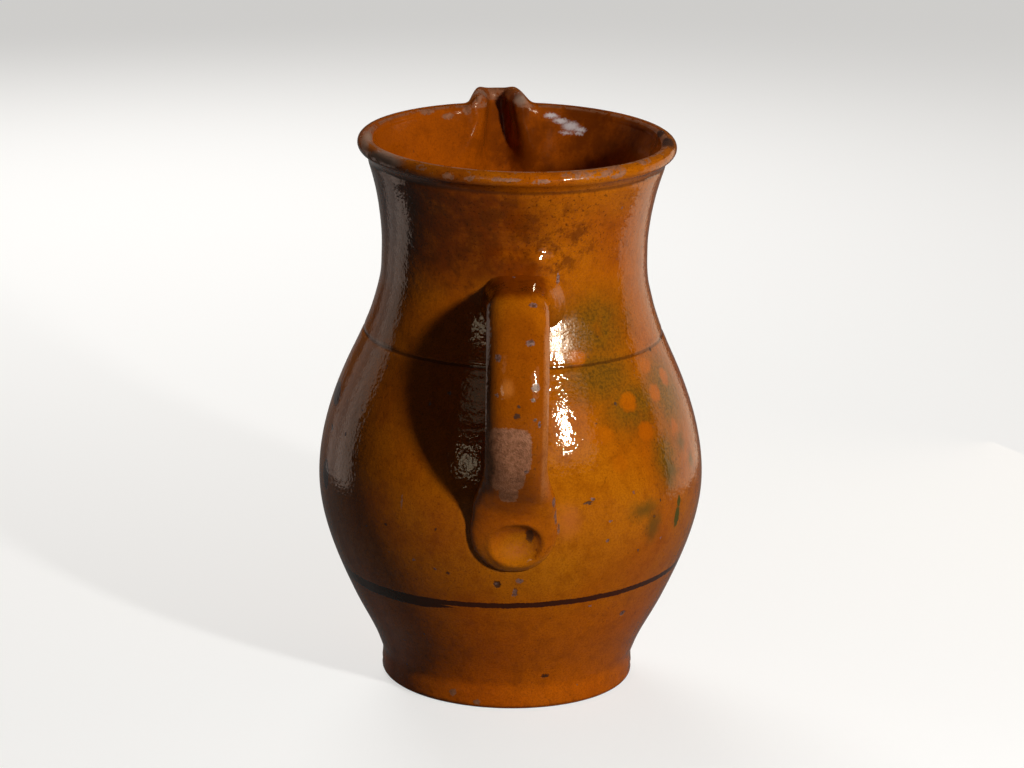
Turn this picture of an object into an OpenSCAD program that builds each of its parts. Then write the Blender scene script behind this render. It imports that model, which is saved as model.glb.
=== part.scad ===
// Glazed earthenware pouring jug: thrown body, pinched lip spout and pulled strap handle, fired as one piece.
// Millimetres. The base rests on z = 0, the handle points towards -Y and the spout towards +Y.

/* [Foot] */
// Diameter of the foot just above its rounded edge
foot_d = 113.2; // [104:0.2:122]
// Height at which the foot ends and the flank starts to flare
foot_h = 8; // [5:0.5:12]
// Rounding of the foot's lower edge
foot_edge = 2.6; // [1.5:0.1:4]

/* [Flank and belly] */
// Diameter of the flank on its way up from the foot
flank_d = 140.6; // [132:0.2:148]
// Height at which that diameter is measured
flank_z = 40; // [34:0.5:46]
// Lean of the flank from upright there, in degrees
flank_lean = 25.3; // [15:0.1:32]
// Diameter of the belly at its widest
belly_d = 173.2; // [160:0.2:190]
// Height of the belly's widest line
belly_z = 95; // [85:0.5:105]

/* [Shoulder and neck] */
// Diameter of the shoulder half way between belly and neck
shoulder_d = 144; // [134:0.2:152]
// Height at which that diameter is measured
shoulder_z = 150; // [142:0.5:158]
// Lean of the shoulder from upright there, in degrees
shoulder_lean = 25; // [16:0.1:32]
// Diameter of the neck at its narrowest
neck_d = 118.4; // [108:0.2:126]
// Height of the neck's narrowest line
neck_z = 196; // [188:0.5:204]

/* [Groove on the shoulder] */
// Height of the incised line round the shoulder
groove_z = 161; // [155:0.5:168]
// Width of the incised line
groove_w = 2.6; // [1.5:0.1:4]
// Depth of the incised line
groove_t = 0.8; // [0.3:0.1:1.2]

/* [Mouth and lip] */
// Diameter of the mouth from side to side, along the middle of the lip
mouth_d = 134.6; // [126:0.2:142]
// How much further the mouth reaches at the handle and at the spout than at its sides
mouth_oval = 3.9; // [0:0.1:7]
// Flare of the neck from upright where it meets the lip, in degrees
mouth_lean = 20; // [10:0.5:28]
// Height of the middle of the rolled lip
lip_z = 246; // [240:0.5:256]
// Thickness of the rolled lip
lip_d = 7; // [5.5:0.1:9]

/* [Wall] */
// Thickness of the thrown wall
wall = 6; // [4.5:0.1:7]
// Thickness of the base
base_t = 8; // [5:0.5:12]
// Radius between floor and wall inside
floor_r = 12; // [6:0.5:18]

/* [Spout] */
// How far the pinched spout reaches out past the mouth
spout_reach = 13; // [6:0.5:18]
// Inside width of the spout's channel
spout_w = 8.6; // [6:0.1:14]
// How far the spout's lip stands above the mouth
spout_rise = 3.8; // [0:0.1:7]
// Height at which the spout's throat starts on the neck
throat_z = 184; // [178:0.5:200]
// How much the throat widens on each side for every millimetre below the lip
throat_flare = 0.3; // [0:0.02:0.4]
// Depth of the finger presses on both sides of the spout
pinch_t = 3.4; // [0:0.1:4.5]
// Turn of the spout from straight opposite the handle, in degrees
spout_skew = 5.6; // [-10:0.1:10]

/* [Handle] */
// Width of the strap at the grip
strap_w = 27.4; // [22:0.2:32]
// Thickness of the strap at the grip
strap_t = 10.5; // [8:0.1:13]
// How much narrower the strap's outer face is than its back, as a share of the width
face_taper = 0.34; // [0:0.02:0.44]
// Height of the strap's root on the neck
root_z = 189.5; // [186:0.5:194]
// Shift of the root towards +X, where more clay was worked in
root_x = 3.5; // [-4:0.5:5]
// Width of the root where it is worked into the neck
root_w = 40; // [32:0.5:44]
// Height of the root from its upper to its lower edge
root_h = 31; // [26:0.5:38]
// Height of the strap's middle at its crown, where it turns down
crown_z = 193.5; // [189:0.5:198]
// Distance of the crown from the jug's axis
crown_at = 80; // [75:0.5:86]
// Height of the strap's outermost point
grip_z = 150; // [140:0.5:160]
// Distance of the strap's outer face from the jug's axis there
grip_reach = 112.8; // [104:0.2:122]
// Height of the middle of the pad that ends the strap on the belly
pad_z = 93; // [86:0.5:100]
// Width of the pad
pad_w = 38.5; // [30:0.5:44]
// Height of the pad's rounded end below its middle
pad_drop = 19; // [14:0.5:24]
// How far the pad stands out from the belly
pad_t = 5.4; // [3.5:0.1:7]

/* [Thumb mark] */
// Width of the thumb mark pressed into the pad
thumb_w = 22.5; // [14:0.5:24]
// Depth of the thumb mark
thumb_t = 3.8; // [2:0.1:4.5]
// Height of the thumb mark above the middle of the pad
thumb_up = -4; // [-7:0.5:3]
// Shift of the thumb mark towards +X
thumb_x = 1.5; // [-5:0.5:5]

/* [Hidden] */

glaze = [0.68, 0.33, 0.06];

// Number of upright lines round the body, closer together at the spout
sectors = 72;
crowd = 0.72;
// Spacing of the rings up the wall outside and inside
ring_step = 8.5;
inner_step = 12;
// Steps in degrees round the foot's edge, the lip and the corner of the floor
foot_turn = 30;
lip_turn = 32.5;
floor_turn = 22.5;
// Number of points round the strap and steps along it
strap_points = 24;
root_steps = 5;
arch_steps = 6;
fall_steps = 9;
pad_steps = 7;

// Slope of the wall just above the foot, and how far the foot's edge swells past it
foot_slope = 0.08;
foot_swell = 0.3;
// How far the wall ends below the lip's roll, and inside its middle
under_lip = 2.5;
behind_lip = 0.6;
// The lip's roll, from where it leaves the wall outside to where it meets it inside, in degrees
lip_from = -70;
lip_to = 190;

// Outside, the throat is wider than inside by the wall and this much for its lobes
lobe = 1.5;
// The channel has steep sides at the lip and soft ones from this far below it
channel_power = 7;
throat_power = 3;
soft_below = 30;
// The finger presses are full from this far below the lip, lie this far beside the channel and are this wide
press_below = 12;
press_beside = 6.5;
press_w = 4.5;
// The spout's lip lifts from this far below the mouth, with a flat crest this much wider than the roll
rise_below = 18;
crest = 1.8;
crest_power = 13;

// The wall's profile: height, radius and slope at each named line
lip_foot = lip_z - lip_d / 2 - under_lip;
stations = [
    [foot_h, foot_d / 2, foot_slope],
    [flank_z, flank_d / 2, tan(flank_lean)],
    [belly_z, belly_d / 2, 0],
    [shoulder_z, shoulder_d / 2, -tan(shoulder_lean)],
    [neck_z, neck_d / 2, 0],
    [lip_foot, mouth_d / 2 - behind_lip, tan(mouth_lean)]
];

function smooth(a, b, v) = let (t = min(1, max(0, (v - a) / (b - a)))) t * t * (3 - 2 * t);
function mix(a, b, t) = a + (b - a) * t;

// Cubic curve from value a to value b over a span h, with slopes sa and sb, and its own slope
function hermite(a, b, sa, sb, h, t) =
    a * (2 * t^3 - 3 * t^2 + 1) + b * (3 * t^2 - 2 * t^3) +
    h * (sa * (t^3 - 2 * t^2 + t) + sb * (t^3 - t^2));
function hermite_slope(a, b, sa, sb, h, t) =
    (a * (6 * t^2 - 6 * t) + b * (6 * t - 6 * t^2)) / h + sa * (3 * t^2 - 4 * t + 1) + sb * (3 * t^2 - 2 * t);
function span(z, i = 0) = i >= len(stations) - 2 || z < stations[i + 1][0] ? i : span(z, i + 1);
function on_profile(z, slope = false) =
    let (i = span(z), p = stations[i], q = stations[i + 1], h = q[0] - p[0])
    let (t = max(0, min(1, (z - p[0]) / h)))
    slope ? hermite_slope(p[1], q[1], p[2], q[2], h, t) : hermite(p[1], q[1], p[2], q[2], h, t);

function outer_r(z) = on_profile(z);
function inner_r(z) = outer_r(z) - wall * sqrt(1 + on_profile(z, true)^2);

// Heights from one line to the next in even steps, without the last
function heights(from, to, step) =
    let (n = max(1, round(abs(to - from) / step))) [for (i = [0 : n - 1]) from + (to - from) * i / n];

// The wall in section, from the underside up the outside, over the lip and down to the floor.
// Each point is radius, height and its place across the wall, 1 outside and 0 inside.
foot_line = [
    for (a = [-90 : foot_turn : 0])
        [foot_d / 2 + foot_swell - foot_edge * (1 - cos(a)), foot_edge * (1 + sin(a)), 1]
];
outer_line = concat(
    [for (z = heights(foot_h, groove_z - groove_w / 2, ring_step)) [outer_r(z), z, 1]],
    [for (i = [-1 : 1]) let (z = groove_z + i * groove_w / 2) [outer_r(z) - (i == 0 ? groove_t : 0), z, 1]],
    [for (z = heights(groove_z + groove_w / 2 + ring_step, lip_foot, ring_step)) [outer_r(z), z, 1]],
    [[outer_r(lip_foot), lip_foot, 1]]
);
lip_line = [
    for (a = [lip_from : lip_turn : lip_to])
        [mouth_d / 2 + lip_d / 2 * cos(a), lip_z + lip_d / 2 * sin(a), 0.5 + 0.5 * cos(a)]
];
floor_top = base_t + floor_r;
inner_line = [for (z = heights(lip_foot, floor_top, inner_step)) [inner_r(z), z, 0]];
floor_line = [
    for (a = [0 : floor_turn : 90])
        [inner_r(floor_top) - floor_r * (1 - cos(a)), floor_top - floor_r * sin(a), 0]
];
wall_line = concat(foot_line, outer_line, lip_line, inner_line, floor_line);

// Round the body: turn in degrees from the spout, with the lines crowded together there
function turn(j) = let (a = 360 * j / sectors) a - crowd * sin(a) * 180 / PI;

// A ridge of half width w, 1 in its middle, with shoulders that fall the steeper the larger the power
function ridge(s, w, power) = 1 / (1 + (abs(s) / w)^power);
function dip(s, at, w) = exp(-((abs(s) - at) / w)^2);

// A point of the body: the round section, drawn out to the oval mouth and the pinched spout
function body_point(p, a) =
    let (
        up = smooth(neck_z, lip_z, p[1]),
        r = p[0] + mouth_oval * up * cos(a)^2,
        side = r * sin(a),
        ahead = cos(a) > 0 ? 1 : 0,
        below = max(0, lip_z - p[1]),
        half = spout_w / 2 + throat_flare * below,
        power = mix(channel_power, throat_power, smooth(0, soft_below, below)),
        out = spout_reach * smooth(throat_z, lip_z, p[1]) * ridge(side, half + p[2] * (wall + lobe), power),
        pressed = smooth(throat_z, lip_z - press_below, p[1]),
        press = pinch_t * pressed * dip(side, half + press_beside, press_w),
        raised = smooth(lip_z - rise_below, lip_z - lip_d / 2, p[1]),
        lift = spout_rise * raised * ridge(side, spout_w / 2 + lip_d + crest, crest_power)
    )
    [r * cos(a) + ahead * (out - press), side, p[1] + ahead * lift];

// Skin over a list of rings with the same number of points each, closed by a face at both ends
module skin(rings) {
    n = len(rings[0]);
    last = len(rings) - 1;
    points = [for (ring = rings) each ring];
    sides = [
        for (i = [0 : last - 1], j = [0 : n - 1])
            let (a = i * n + j, b = i * n + (j + 1) % n)
                each [[a, a + n, b], [b, a + n, b + n]]
    ];
    first_face = [for (j = [0 : n - 1]) j];
    last_face = [for (j = [n - 1 : -1 : 0]) last * n + j];
    polyhedron(points, concat(sides, [first_face], [last_face]));
}

module body() {
    rotate([0, 0, 90 + spout_skew])
        skin([for (p = wall_line) [for (j = [0 : sectors - 1]) body_point(p, turn(j))]]);
}

// How deep the strap's clay sits in the wall
seat = wall * 0.45;
// The pad starts this far above its middle, standing out this much more than it does there
pad_above = 11;
pad_proud = 1.2;
pad_top_z = pad_z + pad_above;
pad_end_z = pad_z - pad_drop;
pad_mid = outer_r(pad_z) + (pad_t - seat) / 2;
// The strap's middle line: distance from the axis and height at the ends of its spans, and how it runs on
root_run = [24, 6];
crown_run = [14, -4];
grip_run = [0, -80];
pad_run = [-14, -44];
end_run = [-14, -34];
strap_nodes = [
    concat([outer_r(root_z) - seat, root_z], root_run),
    concat([crown_at, crown_z], crown_run),
    concat([grip_reach - strap_t / 2, grip_z], grip_run),
    concat([pad_mid + pad_proud, pad_top_z], pad_run),
    concat([outer_r(pad_end_z) - seat / 2, pad_end_z], end_run)
];
function strap_mid(i, t) =
    let (p = strap_nodes[i], q = strap_nodes[i + 1])
    [for (k = [0, 1]) hermite(p[k], q[k], p[k + 2], q[k + 2], 1, t)];
function strap_heading(i, t) =
    let (
        p = strap_nodes[i],
        q = strap_nodes[i + 1],
        v = [for (k = [0, 1]) hermite_slope(p[k], q[k], p[k + 2], q[k + 2], 1, t)]
    )
    v / norm(v);

// The root's flare falls off with this power, and the strap turns to pad after this part of its fall
root_ease = 2.2;
fall_start = 0.3;
fall_ease = 1.5;
// The pad's start is this much narrower than its middle, and its tip this wide and thick
pad_neck_w = pad_w - 2;
pad_full = 0.3;
pad_depth = pad_t + seat + 1;
tip_w = 3;
tip_t = 1;
tip_ease = 0.7;

// Width, thickness and closeness to the wall along each span of the strap
function root_size(t) =
    let (f = (1 - t)^root_ease)
    [mix(strap_w, root_w, f), mix(strap_t, root_h, f), f];
function fall_size(t) =
    let (f = smooth(fall_start, 1, t))
    [mix(strap_w, pad_neck_w, f^fall_ease), mix(strap_t, pad_depth, f), f];
function pad_size(t) =
    let (
        f = sqrt(max(0, 1 - (max(0, t - pad_full) / (1 - pad_full))^2)),
        w = mix(pad_neck_w, pad_w, smooth(0, pad_full, t))
    )
    [mix(tip_w, w, f), mix(tip_t, pad_depth, f^tip_ease), 1];
function strap_size(i, t) =
    i == 0 ? root_size(t) :
    i == 1 ? [strap_w, strap_t, 0] :
    i == 2 ? fall_size(t) : pad_size(t);

// One ring round the strap, flat-faced with rounded edges, bent to hug the wall where it comes near.
// Its sides lean in towards the outer face from a little behind the middle.
side_round = 0.58;
face_round = 0.7;
lean_from = 0.3;
function strap_ring(i, t) =
    let (
        c = strap_mid(i, t),
        size = strap_size(i, t),
        level = i == 0 ? size[2] : 0,
        v = mix(strap_heading(i, t), [1, 0], level),
        h = v / norm(v)
    )
    [
        for (k = [0 : strap_points - 1])
            let (
                a = 360 * k / strap_points,
                across = sign(cos(a)) * abs(cos(a))^side_round,
                up = sign(sin(a)) * abs(sin(a))^face_round,
                narrow = face_taper * (1 - size[2]) * max(0, lean_from + up) / (lean_from + 1),
                x = size[0] / 2 * across * (1 - narrow) + root_x * level,
                o = size[1] / 2 * up,
                z = c[1] + h[0] * o,
                hug = size[2] * (outer_r(c[1]) - sqrt(outer_r(z)^2 - x^2))
            )
            [x, h[1] * o - c[0] + hug, z]
    ];

strap_rings = concat(
    [for (i = [0 : root_steps - 1]) strap_ring(0, i / root_steps)],
    [for (i = [0 : arch_steps - 1]) strap_ring(1, i / arch_steps)],
    [for (i = [0 : fall_steps - 1]) strap_ring(2, i / fall_steps)],
    [for (i = [0 : pad_steps]) strap_ring(3, i / pad_steps)]
);

// The ball whose cap is the thumb mark, and its place along the pad
thumb_ball = (thumb_w^2 / 4 + thumb_t^2) / (2 * thumb_t);
thumb_at = (pad_top_z - pad_z - thumb_up) / (pad_top_z - pad_end_z);

module thumb_mark() {
    c = strap_mid(3, thumb_at);
    h = strap_heading(3, thumb_at);
    lift = strap_size(3, thumb_at)[1] / 2 - thumb_t + thumb_ball;
    translate([thumb_x, h[1] * lift - c[0], c[1] + h[0] * lift])
        sphere(r = thumb_ball, $fn = 64);
}

module handle() {
    difference() {
        skin(strap_rings);
        thumb_mark();
    }
}

module jug() {
    color(glaze) union() {
        body();
        handle();
    }
}

jug();
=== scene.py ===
"""Glazed earthenware jug: thrown body with a pinched spout, pulled strap handle, honey-brown glaze with wear."""
import math
import bpy
import numpy as np
from mathutils import Matrix, Vector
from mathutils.kdtree import KDTree


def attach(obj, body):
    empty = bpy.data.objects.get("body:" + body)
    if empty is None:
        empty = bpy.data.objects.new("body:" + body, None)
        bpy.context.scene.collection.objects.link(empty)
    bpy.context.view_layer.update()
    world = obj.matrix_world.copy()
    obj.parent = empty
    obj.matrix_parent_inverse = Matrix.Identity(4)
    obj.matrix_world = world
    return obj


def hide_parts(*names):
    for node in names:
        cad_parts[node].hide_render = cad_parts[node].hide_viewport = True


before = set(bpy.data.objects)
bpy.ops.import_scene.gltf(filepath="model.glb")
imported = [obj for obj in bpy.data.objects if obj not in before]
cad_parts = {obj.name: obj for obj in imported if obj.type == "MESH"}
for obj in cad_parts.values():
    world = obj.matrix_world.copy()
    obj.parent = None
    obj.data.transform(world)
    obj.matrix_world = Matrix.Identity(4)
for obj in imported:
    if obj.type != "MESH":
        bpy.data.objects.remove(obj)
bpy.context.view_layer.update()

# The jug is measured in millimetres, and its mesh is scaled to metres when it is made.
# Azimuths are degrees from the handle, growing towards +X.
MM = 0.001

# Body: height, radius and slope of the wall at each named line, then the rolled lip, the wall and the floor
FOOT_H, FOOT_R, FOOT_SLOPE, FOOT_EDGE, FOOT_SWELL = 8.0, 56.6, 0.08, 2.6, 0.3
FLANK_Z, FLANK_R, FLANK_LEAN = 40.0, 70.3, 25.3
BELLY_Z, BELLY_R = 95.0, 86.6
SHOULDER_Z, SHOULDER_R, SHOULDER_LEAN = 150.0, 72.0, 25.0
NECK_Z, NECK_R = 196.0, 59.2
MOUTH_R, MOUTH_OVAL, MOUTH_LEAN, LIP_Z, LIP_D = 67.3, 3.9, 20.0, 246.0, 7.0
UNDER_LIP, BEHIND_LIP = 2.5, 0.6
WALL, BASE_T, FLOOR_R = 6.0, 8.0, 12.0
LIP_FOOT = LIP_Z - LIP_D / 2 - UNDER_LIP
FLOOR_TOP = BASE_T + FLOOR_R

# Incised line on the shoulder, and how far it wavers up and down
GROOVE_Z, GROOVE_W, GROOVE_T, GROOVE_WAVER = 161.0, 0.9, 0.4, 0.25

# Throwing marks: how far they climb in a turn, how uneven the wall is, and depth and step of the rings outside,
# of the fine rings and of the rings inside. The rings outside are faint, but deeper in two places beside the handle
CLIMB = 2.2
UNEVEN, UNEVEN_WAVE = 0.16, 80.0
RING_T, RING_STEP = 0.045, 4.6
FINE_T, FINE_STEP = 0.015, 2.3
INNER_T, INNER_STEP = 0.35, 9.0
RINGS_FAINT, RINGS_LEFT, RINGS_RIGHT, RINGS_RIGHT_Z = 0.3, 0.7, 0.6, 170

# Swellings and hollows round the outside: height out, place and half width up the wall
WALL_WAVES = [(0.14, 195, 6.0), (0.1, 177.5, 5.0), (-0.08, 186, 4.5), (-0.08, 205, 5.0),
              (0.35, 6.5, 2.2), (-0.3, 11.5, 2.5), (-0.35, LIP_FOOT - 0.6, 1.3)]

# Clay smeared over the neck above the handle's root, and two finger bumps: height out, then place and half width
# round the neck and up it
APRON_T, APRON_X, APRON_W, APRON_Z, APRON_H = 3.0, 4.0, 20.0, 200.0, 11.5
FINGER_BUMPS = [(1.5, 8.0, 4.2, 208.5, 3.4), (0.6, -8.5, 4.0, 209.5, 3.4)]

# Spout: its reach, channel, rise, the height it is drawn out from and its turn away from the handle's opposite side,
# how square its plan is at the lip and below, the finger presses, and the crest with its two knobs
SPOUT_REACH, SPOUT_W, SPOUT_RISE, THROAT_Z, SPOUT_SKEW = 13.0, 8.6, 3.8, 184.0, 5.6
THROAT_FLARE, LOBE, HOLLOWED = 0.2, 2.6, 2.5
LIP_SQUARE, THROAT_SQUARE, SQUARE_FADE = 9, 3, 30
PINCH_T, PINCH_AT, PINCH_W, PINCH_H = 2.4, 7.0, 5.5, 26
CREST, CREST_SQUARE, RISE_H = 1.8, 13, 18
KNOB_T, KNOB_AT, KNOB_W = 1.3, 4.5, 3.0

# Handle: strap, root on the neck, crown, grip, and the pad with its thumb mark on the belly
STRAP_W, STRAP_T = 27.4, 10.5
SIDE_ROUND, FACE_ROUND, FACE_TAPER = 0.58, 0.7, 0.34
ROOT_Z, ROOT_X, ROOT_W, ROOT_H, ROOT_EASE = 189.5, 3.5, 40.0, 31.0, 2.2
CROWN_Z, CROWN_AT = 193.5, 80.0
GRIP_Z, GRIP_REACH = 150.0, 112.8
PAD_Z, PAD_W, PAD_DROP, PAD_T, PAD_ABOVE, PAD_PROUD = 93.0, 38.5, 19.0, 5.4, 11.0, 1.2
PAD_FROM, PAD_NARROWER = 0.3, 2.0
THUMB_W, THUMB_H, THUMB_T, THUMB_X, THUMB_UP = 22.0, 20.0, 3.8, 1.5, -5.0

# Finger work on the strap: waves on the crown, a line and waves on the grip, and the thumb mark's raised rim
CROWN_WAVE, GRIP_LINE, GRIP_WAVE, GRIP_RIPPLE, THUMB_RIM, THUMB_SKEW = 0.1, 0.25, 0.14, 0.1, 0.45, 0.25

# Seam between the handle and the body: how far it is smoothed, how much further above the root and at the pad's tip,
# the heights between which that sets in, and how often and how strongly
SEAM_REACH, SEAM_ABOVE, SEAM_TIP = 2.2, 4.0, 3.0
SEAM_ABOVE_Z, SEAM_TIP_Z, SEAM_ROUNDS, SEAM_EASE = (196, 204), (76, 86), 14, 0.6

# Points of the joined skin further than this from all points before, in metres, were made by the join
SAME_POINT = 2e-6

# How finely the skin is made, and how much closer its points stand at the handle and the spout
SECTORS, CROWDED = 332, 0.2
STRAP_POINTS = 84
ROOT_RINGS, ARCH_RINGS, GRIP_RINGS, PAD_RINGS = 20, 36, 48, 56


def smooth(a, b, v):
    t = np.clip((v - a) / (b - a), 0.0, 1.0)
    return t * t * (3 - 2 * t)


def mix(a, b, t):
    return a + (b - a) * t


def bell(v, at, w):
    return np.exp(-((v - at) / w) ** 2)


def zone(z, low, full, fading, high):
    """1 between full and fading, 0 below low and above high"""
    return smooth(low, full, z) * (1 - smooth(fading, high, z))


def hermite(a, b, sa, sb, h, t):
    return (a * (2 * t**3 - 3 * t**2 + 1) + b * (3 * t**2 - 2 * t**3)
            + h * (sa * (t**3 - 2 * t**2 + t) + sb * (t**3 - t**2)))


def hermite_slope(a, b, sa, sb, h, t):
    return (a - b) * (6 * t**2 - 6 * t) / h + sa * (3 * t**2 - 4 * t + 1) + sb * (3 * t**2 - 2 * t)


def lean(degrees):
    return math.tan(math.radians(degrees))


# ---- the thrown body

STATIONS = [
    (FOOT_H, FOOT_R, FOOT_SLOPE),
    (FLANK_Z, FLANK_R, lean(FLANK_LEAN)),
    (BELLY_Z, BELLY_R, 0.0),
    (SHOULDER_Z, SHOULDER_R, -lean(SHOULDER_LEAN)),
    (NECK_Z, NECK_R, 0.0),
    (LIP_FOOT, MOUTH_R - BEHIND_LIP, lean(MOUTH_LEAN)),
]

# Where the rings of the skin lie: from, to and step
OUTER_SPANS = [(FOOT_EDGE + 1.5, 62, 2.0), (62, 116, 2.2), (116, 158, 1.3), (158, 164, 0.6),
               (164, 236, 1.9), (236, LIP_FOOT, 0.9)]
INNER_SPANS = [(LIP_FOOT, 200, 2.0), (200, FLOOR_TOP, 5.0)]


def on_profile(z, curve):
    z = np.asarray(z, float)
    out = np.zeros_like(z)
    for k, (low, high) in enumerate(zip(STATIONS[:-1], STATIONS[1:])):
        h = high[0] - low[0]
        t = np.clip((z - low[0]) / h, 0.0, 1.0)
        here = (z >= low[0]) if k else np.ones(z.shape, bool)
        out = np.where(here, curve(low[1], high[1], low[2], high[2], h, t), out)
    return out


def outer_r(z):
    return on_profile(z, hermite)


def inner_r(z):
    return outer_r(z) - WALL * np.sqrt(1 + on_profile(z, hermite_slope) ** 2)


def wall_rings(spans, radius, outside):
    rings = []
    for low, high, step in spans:
        n = max(1, round(abs(high - low) / step))
        for z in [low + (high - low) * i / n for i in range(n)]:
            rings.append((float(radius(z)), z, outside))
    return rings


def arc_rings(r, z, d, angles, outside):
    """Rings round a rounded edge of radius d, by angle above level"""
    return [(r + d * math.cos(a), z + d * math.sin(a), outside(a)) for a in np.radians(angles)]


def wall_line():
    """Rings from the underside up the outside, over the lip and down inside: radius, height, 1 outside to 0 in"""
    edge_r = FOOT_R + FOOT_SWELL - FOOT_EDGE
    corner = float(inner_r(FLOOR_TOP)) - FLOOR_R
    line = [(edge_r * k, 0.0, 1.0) for k in (0.12, 0.4, 0.7, 0.9)]
    line += arc_rings(edge_r, FOOT_EDGE, FOOT_EDGE, np.arange(-90, 1, 15), lambda a: 1.0)
    line += wall_rings(OUTER_SPANS, outer_r, 1.0)
    line.append((float(outer_r(LIP_FOOT)), LIP_FOOT, 1.0))
    line += arc_rings(MOUTH_R, LIP_Z, LIP_D / 2, np.arange(-70, 191, 11.3), lambda a: 0.5 + 0.5 * math.cos(a))
    line += wall_rings(INNER_SPANS, inner_r, 0.0)
    line += arc_rings(corner, FLOOR_TOP, FLOOR_R, -np.arange(0, 91, 15), lambda a: 0.0)
    line += [(corner * k, BASE_T, 0.0) for k in (0.8, 0.55, 0.3, 0.12)]
    return np.array(line)


def ripples(rng, count, z, a, wave):
    """Slow unevenness of a thrown wall: a sum of waves round and up the wall"""
    total = np.zeros(np.broadcast(z, a).shape)
    for _ in range(count):
        m = rng.integers(1, 6)
        total += np.sin(m * a + 2 * np.pi * z / wave * rng.uniform(0.6, 1.6) + rng.uniform(0, 2 * np.pi)) / m
    return total / math.sqrt(count)


def thrown(z, a, k):
    """What the potter's fingers left on the wall, in mm outwards. The angle a is the azimuth in radians"""
    turns = 2 * np.pi * (z + CLIMB * a / (2 * np.pi))
    uneven = UNEVEN * ripples(np.random.default_rng(11), 9, z, a, UNEVEN_WAVE)
    strength = RINGS_FAINT + RINGS_LEFT * bell(a, -0.42, 0.4)
    strength = strength + RINGS_RIGHT * bell(z, RINGS_RIGHT_Z, 8.0) * bell(a, 0.35, 0.4)
    rings = RING_T * strength * zone(z, 118, 128, 174, 182) * np.sin(turns / RING_STEP)
    fine = FINE_T * zone(z, 60, 80, 225, 236) * np.sin(turns / FINE_STEP + 2 * np.sin(2 * a))
    groove = -GROOVE_T * bell(z, GROOVE_Z + GROOVE_WAVER * np.sin(a + 1.0), GROOVE_W)
    outside = rings + fine + groove + sum(out * bell(z, at, w) for out, at, w in WALL_WAVES)
    inside = INNER_T * np.sin(turns / INNER_STEP) * zone(z, 20, 40, 215, 235)
    return uneven + np.where(k > 0.5, outside, inside) * np.where((k > 0) & (k < 1), 0.0, 1.0)


def worked_root(z, a, k):
    """Clay smeared over the neck round the handle's root, with two finger bumps above it"""
    x = a * NECK_R
    apron = APRON_T * np.exp(-(np.abs((x - APRON_X) / APRON_W) ** 2.8 + np.abs((z - APRON_Z) / APRON_H) ** 3))
    bumps = sum(out * bell(x, at, w) * bell(z, up, h) for out, at, w, up, h in FINGER_BUMPS)
    return np.where(k > 0.99, apron + bumps, 0.0)


def drawn_spout(side, z, k):
    """How far the spout is drawn out of the wall and up, at a distance to its side and a height"""
    below = np.clip(LIP_Z - z, 0, None)
    flare = THROAT_FLARE * below
    apart = np.abs(side)
    half = SPOUT_W / 2 + flare + k * (WALL + LOBE)
    square = mix(LIP_SQUARE, THROAT_SQUARE, smooth(0, SQUARE_FADE, below))
    reach = SPOUT_REACH + HOLLOWED * (1 - k)
    out = reach * smooth(THROAT_Z, LIP_Z, z) / (1 + (apart / half) ** square)
    press = PINCH_T * smooth(LIP_Z - PINCH_H, LIP_Z - 2, z) * bell(apart, SPOUT_W / 2 + PINCH_AT + flare, PINCH_W)
    crest = SPOUT_W / 2 + LIP_D + CREST
    lift = SPOUT_RISE * smooth(LIP_Z - RISE_H, LIP_Z - LIP_D / 2, z) / (1 + (apart / crest) ** CREST_SQUARE)
    knobs = KNOB_T * smooth(LIP_Z - 2, LIP_Z + 3, z) * bell(apart, SPOUT_W / 2 + KNOB_AT, KNOB_W)
    return out - press, lift + knobs


def body_points():
    line = wall_line()
    turn = 2 * np.pi * np.arange(SECTORS) / SECTORS
    turn = turn - CROWDED * np.sin(2 * turn)
    z = line[:, 1][:, None] * np.ones(SECTORS)
    k = line[:, 2][:, None] * np.ones(SECTORS)
    a = turn[None, :] * np.ones((len(line), 1))
    from_handle = np.mod(a + math.radians(SPOUT_SKEW) + 2 * np.pi, 2 * np.pi) - np.pi
    flat = (line[:, 1] <= 0.01) | ((line[:, 2] == 0) & (line[:, 1] <= BASE_T + 0.01))
    worked = thrown(z, from_handle, k) + worked_root(z, from_handle, k)
    r = line[:, 0][:, None] + np.where(flat, 0.0, 1.0)[:, None] * worked
    r = r + MOUTH_OVAL * smooth(NECK_Z, LIP_Z, z) * np.cos(a) ** 2
    side = r * np.sin(a)
    out, lift = drawn_spout(side, z, k)
    ahead = np.cos(a) > 0
    along = r * np.cos(a) + ahead * out
    spin = math.radians(90 + SPOUT_SKEW)
    x = along * math.cos(spin) - side * math.sin(spin)
    y = along * math.sin(spin) + side * math.cos(spin)
    return np.stack([x, y, z + ahead * lift], axis=-1)


def grid_faces(rows, columns):
    i, j = np.meshgrid(np.arange(rows - 1), np.arange(columns), indexing="ij")
    here = i * columns + j
    aside = i * columns + (j + 1) % columns
    return np.stack([here, here + columns, aside + columns, aside], axis=-1).reshape(-1, 4)


def closed_mesh(name, grid):
    """Mesh over a grid of rings, closed at both ends by a fan"""
    rows, columns = grid.shape[:2]
    points = grid.reshape(-1, 3)
    first, last = len(points), len(points) + 1
    points = np.vstack([points, grid[0].mean(axis=0), grid[-1].mean(axis=0)])
    faces = grid_faces(rows, columns).tolist()
    tail = (rows - 1) * columns
    for j in range(columns):
        k = (j + 1) % columns
        faces.append([first, j, k])
        faces.append([last, tail + k, tail + j])
    mesh = bpy.data.meshes.new(name)
    mesh.from_pydata((points * MM).tolist(), [], faces)
    mesh.update()
    return mesh


# ---- the pulled handle

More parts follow.
